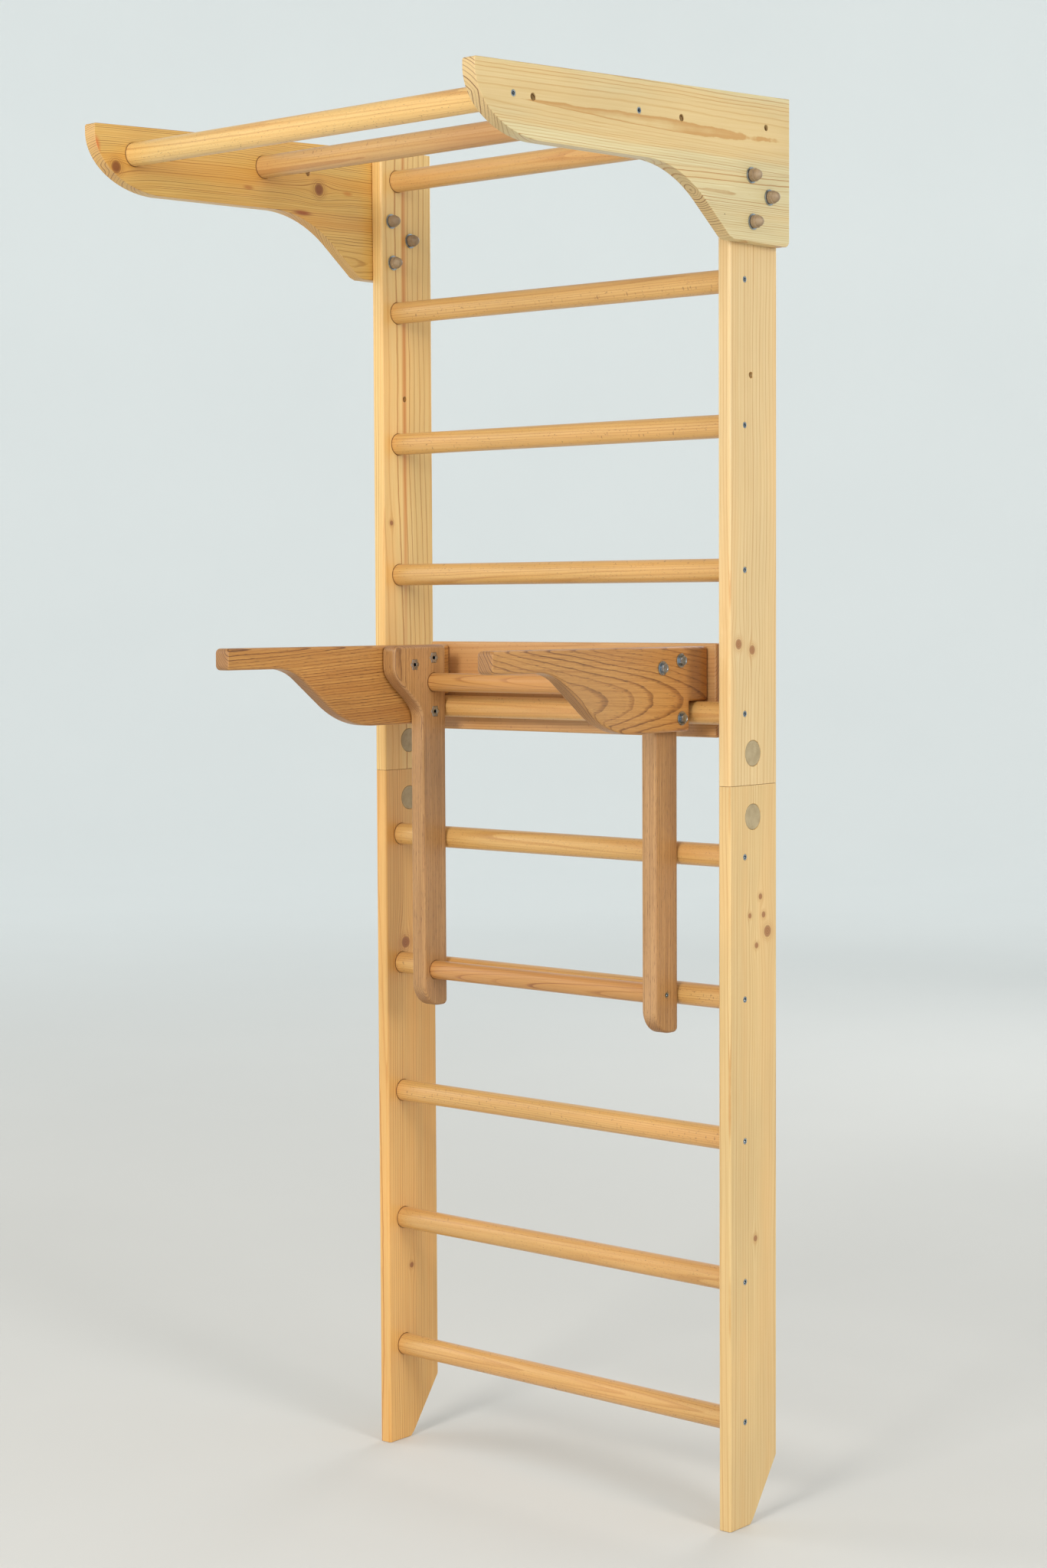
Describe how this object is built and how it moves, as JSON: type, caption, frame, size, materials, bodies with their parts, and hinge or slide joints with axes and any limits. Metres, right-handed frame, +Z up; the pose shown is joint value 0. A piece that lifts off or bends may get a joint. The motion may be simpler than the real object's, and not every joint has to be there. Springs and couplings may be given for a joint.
{
  "type": "wall bars with dip station",
  "caption": "Wooden wall bars that fix to a wall, with round rungs, two forward pull-up bars on brackets, and a lift-off dip station hooked over a rung.",
  "frame": {"origin": "middle of the bottom of the object's box, at floor level", "axes": "+X to the right as seen from the room, +Y into the wall, +Z up; the wall is the plane y = 0.3525"},
  "size_m": [0.806, 0.705, 2.1429],
  "materials": {
    "pine_posts": "clear satin varnish over pine with straight and cathedral grain",
    "pine_brackets": "clear satin varnish over pine",
    "beech_bars": "clear satin varnish over turned beech with fine ray flecks",
    "beech_crossbars": "clear satin varnish over turned beech",
    "beech_board": "clear satin varnish over straight-grained beech",
    "ash_stained": "brown stain and satin varnish over open-grained ash",
    "zinc_fasteners": "zinc plated, bright",
    "cap_plastic": "brown moulded plastic",
    "plug_plastic": "beige-grey moulded plastic"
  },
  "bodies": {
    "wall_bars": {"bolt_cap_inner_left_1": "cap_plastic", "bolt_cap_inner_left_2": "cap_plastic", "bolt_cap_inner_left_3": "cap_plastic", "bolt_cap_inner_right_1": "cap_plastic", "bolt_cap_inner_right_2": "cap_plastic", "bolt_cap_inner_right_3": "cap_plastic", "bolt_cap_outer_left_1": "cap_plastic", "bolt_cap_outer_left_2": "cap_plastic", "bolt_cap_outer_left_3": "cap_plastic", "bolt_cap_outer_right_1": "cap_plastic", "bolt_cap_outer_right_2": "cap_plastic", "bolt_cap_outer_right_3": "cap_plastic", "bracket_bolt_left_1": "zinc_fasteners", "bracket_bolt_left_2": "zinc_fasteners", "bracket_bolt_left_3": "zinc_fasteners", "bracket_bolt_right_1": "zinc_fasteners", "bracket_bolt_right_2": "zinc_fasteners", "bracket_bolt_right_3": "zinc_fasteners", "lower_post_left": "pine_posts", "lower_post_right": "pine_posts", "post_cap_lower_inner_left": "plug_plastic", "post_cap_lower_inner_right": "plug_plastic", "post_cap_lower_outer_left": "plug_plastic", "post_cap_lower_outer_right": "plug_plastic", "post_cap_upper_inner_left": "plug_plastic", "post_cap_upper_inner_right": "plug_plastic", "post_cap_upper_outer_left": "plug_plastic", "post_cap_upper_outer_right": "plug_plastic", "post_joint_rod_left": "zinc_fasteners", "post_joint_rod_right": "zinc_fasteners", "pullup_bar_front": "beech_bars", "pullup_bar_middle": "beech_bars", "pullup_bracket_left": "pine_brackets", "pullup_bracket_right": "pine_brackets", "rung_01": "beech_bars", "rung_02": "beech_bars", "rung_03": "beech_bars", "rung_04": "beech_bars", "rung_05": "beech_bars", "rung_06": "beech_bars", "rung_07": "beech_bars", "rung_08": "beech_bars", "rung_09": "beech_bars", "rung_10": "beech_bars", "upper_post_left": "pine_posts", "upper_post_right": "pine_posts"},
    "dip_station": {"dip_arm_left": "ash_stained", "dip_arm_right": "ash_stained", "dip_back_board": "beech_board", "dip_bolt_left_1": "zinc_fasteners", "dip_bolt_left_2": "zinc_fasteners", "dip_bolt_left_3": "zinc_fasteners", "dip_bolt_right_1": "zinc_fasteners", "dip_bolt_right_2": "zinc_fasteners", "dip_bolt_right_3": "zinc_fasteners", "dip_crossbar_lower": "beech_crossbars", "dip_crossbar_upper": "beech_crossbars", "dip_strut_left": "ash_stained", "dip_strut_right": "ash_stained"}
  },
  "joints": [
    {"name": "dip_lift_off", "type": "slide", "parent": "wall_bars", "child": "dip_station", "axis": [0, 0, 1], "range_m": [0, 0.08]}
  ]
}
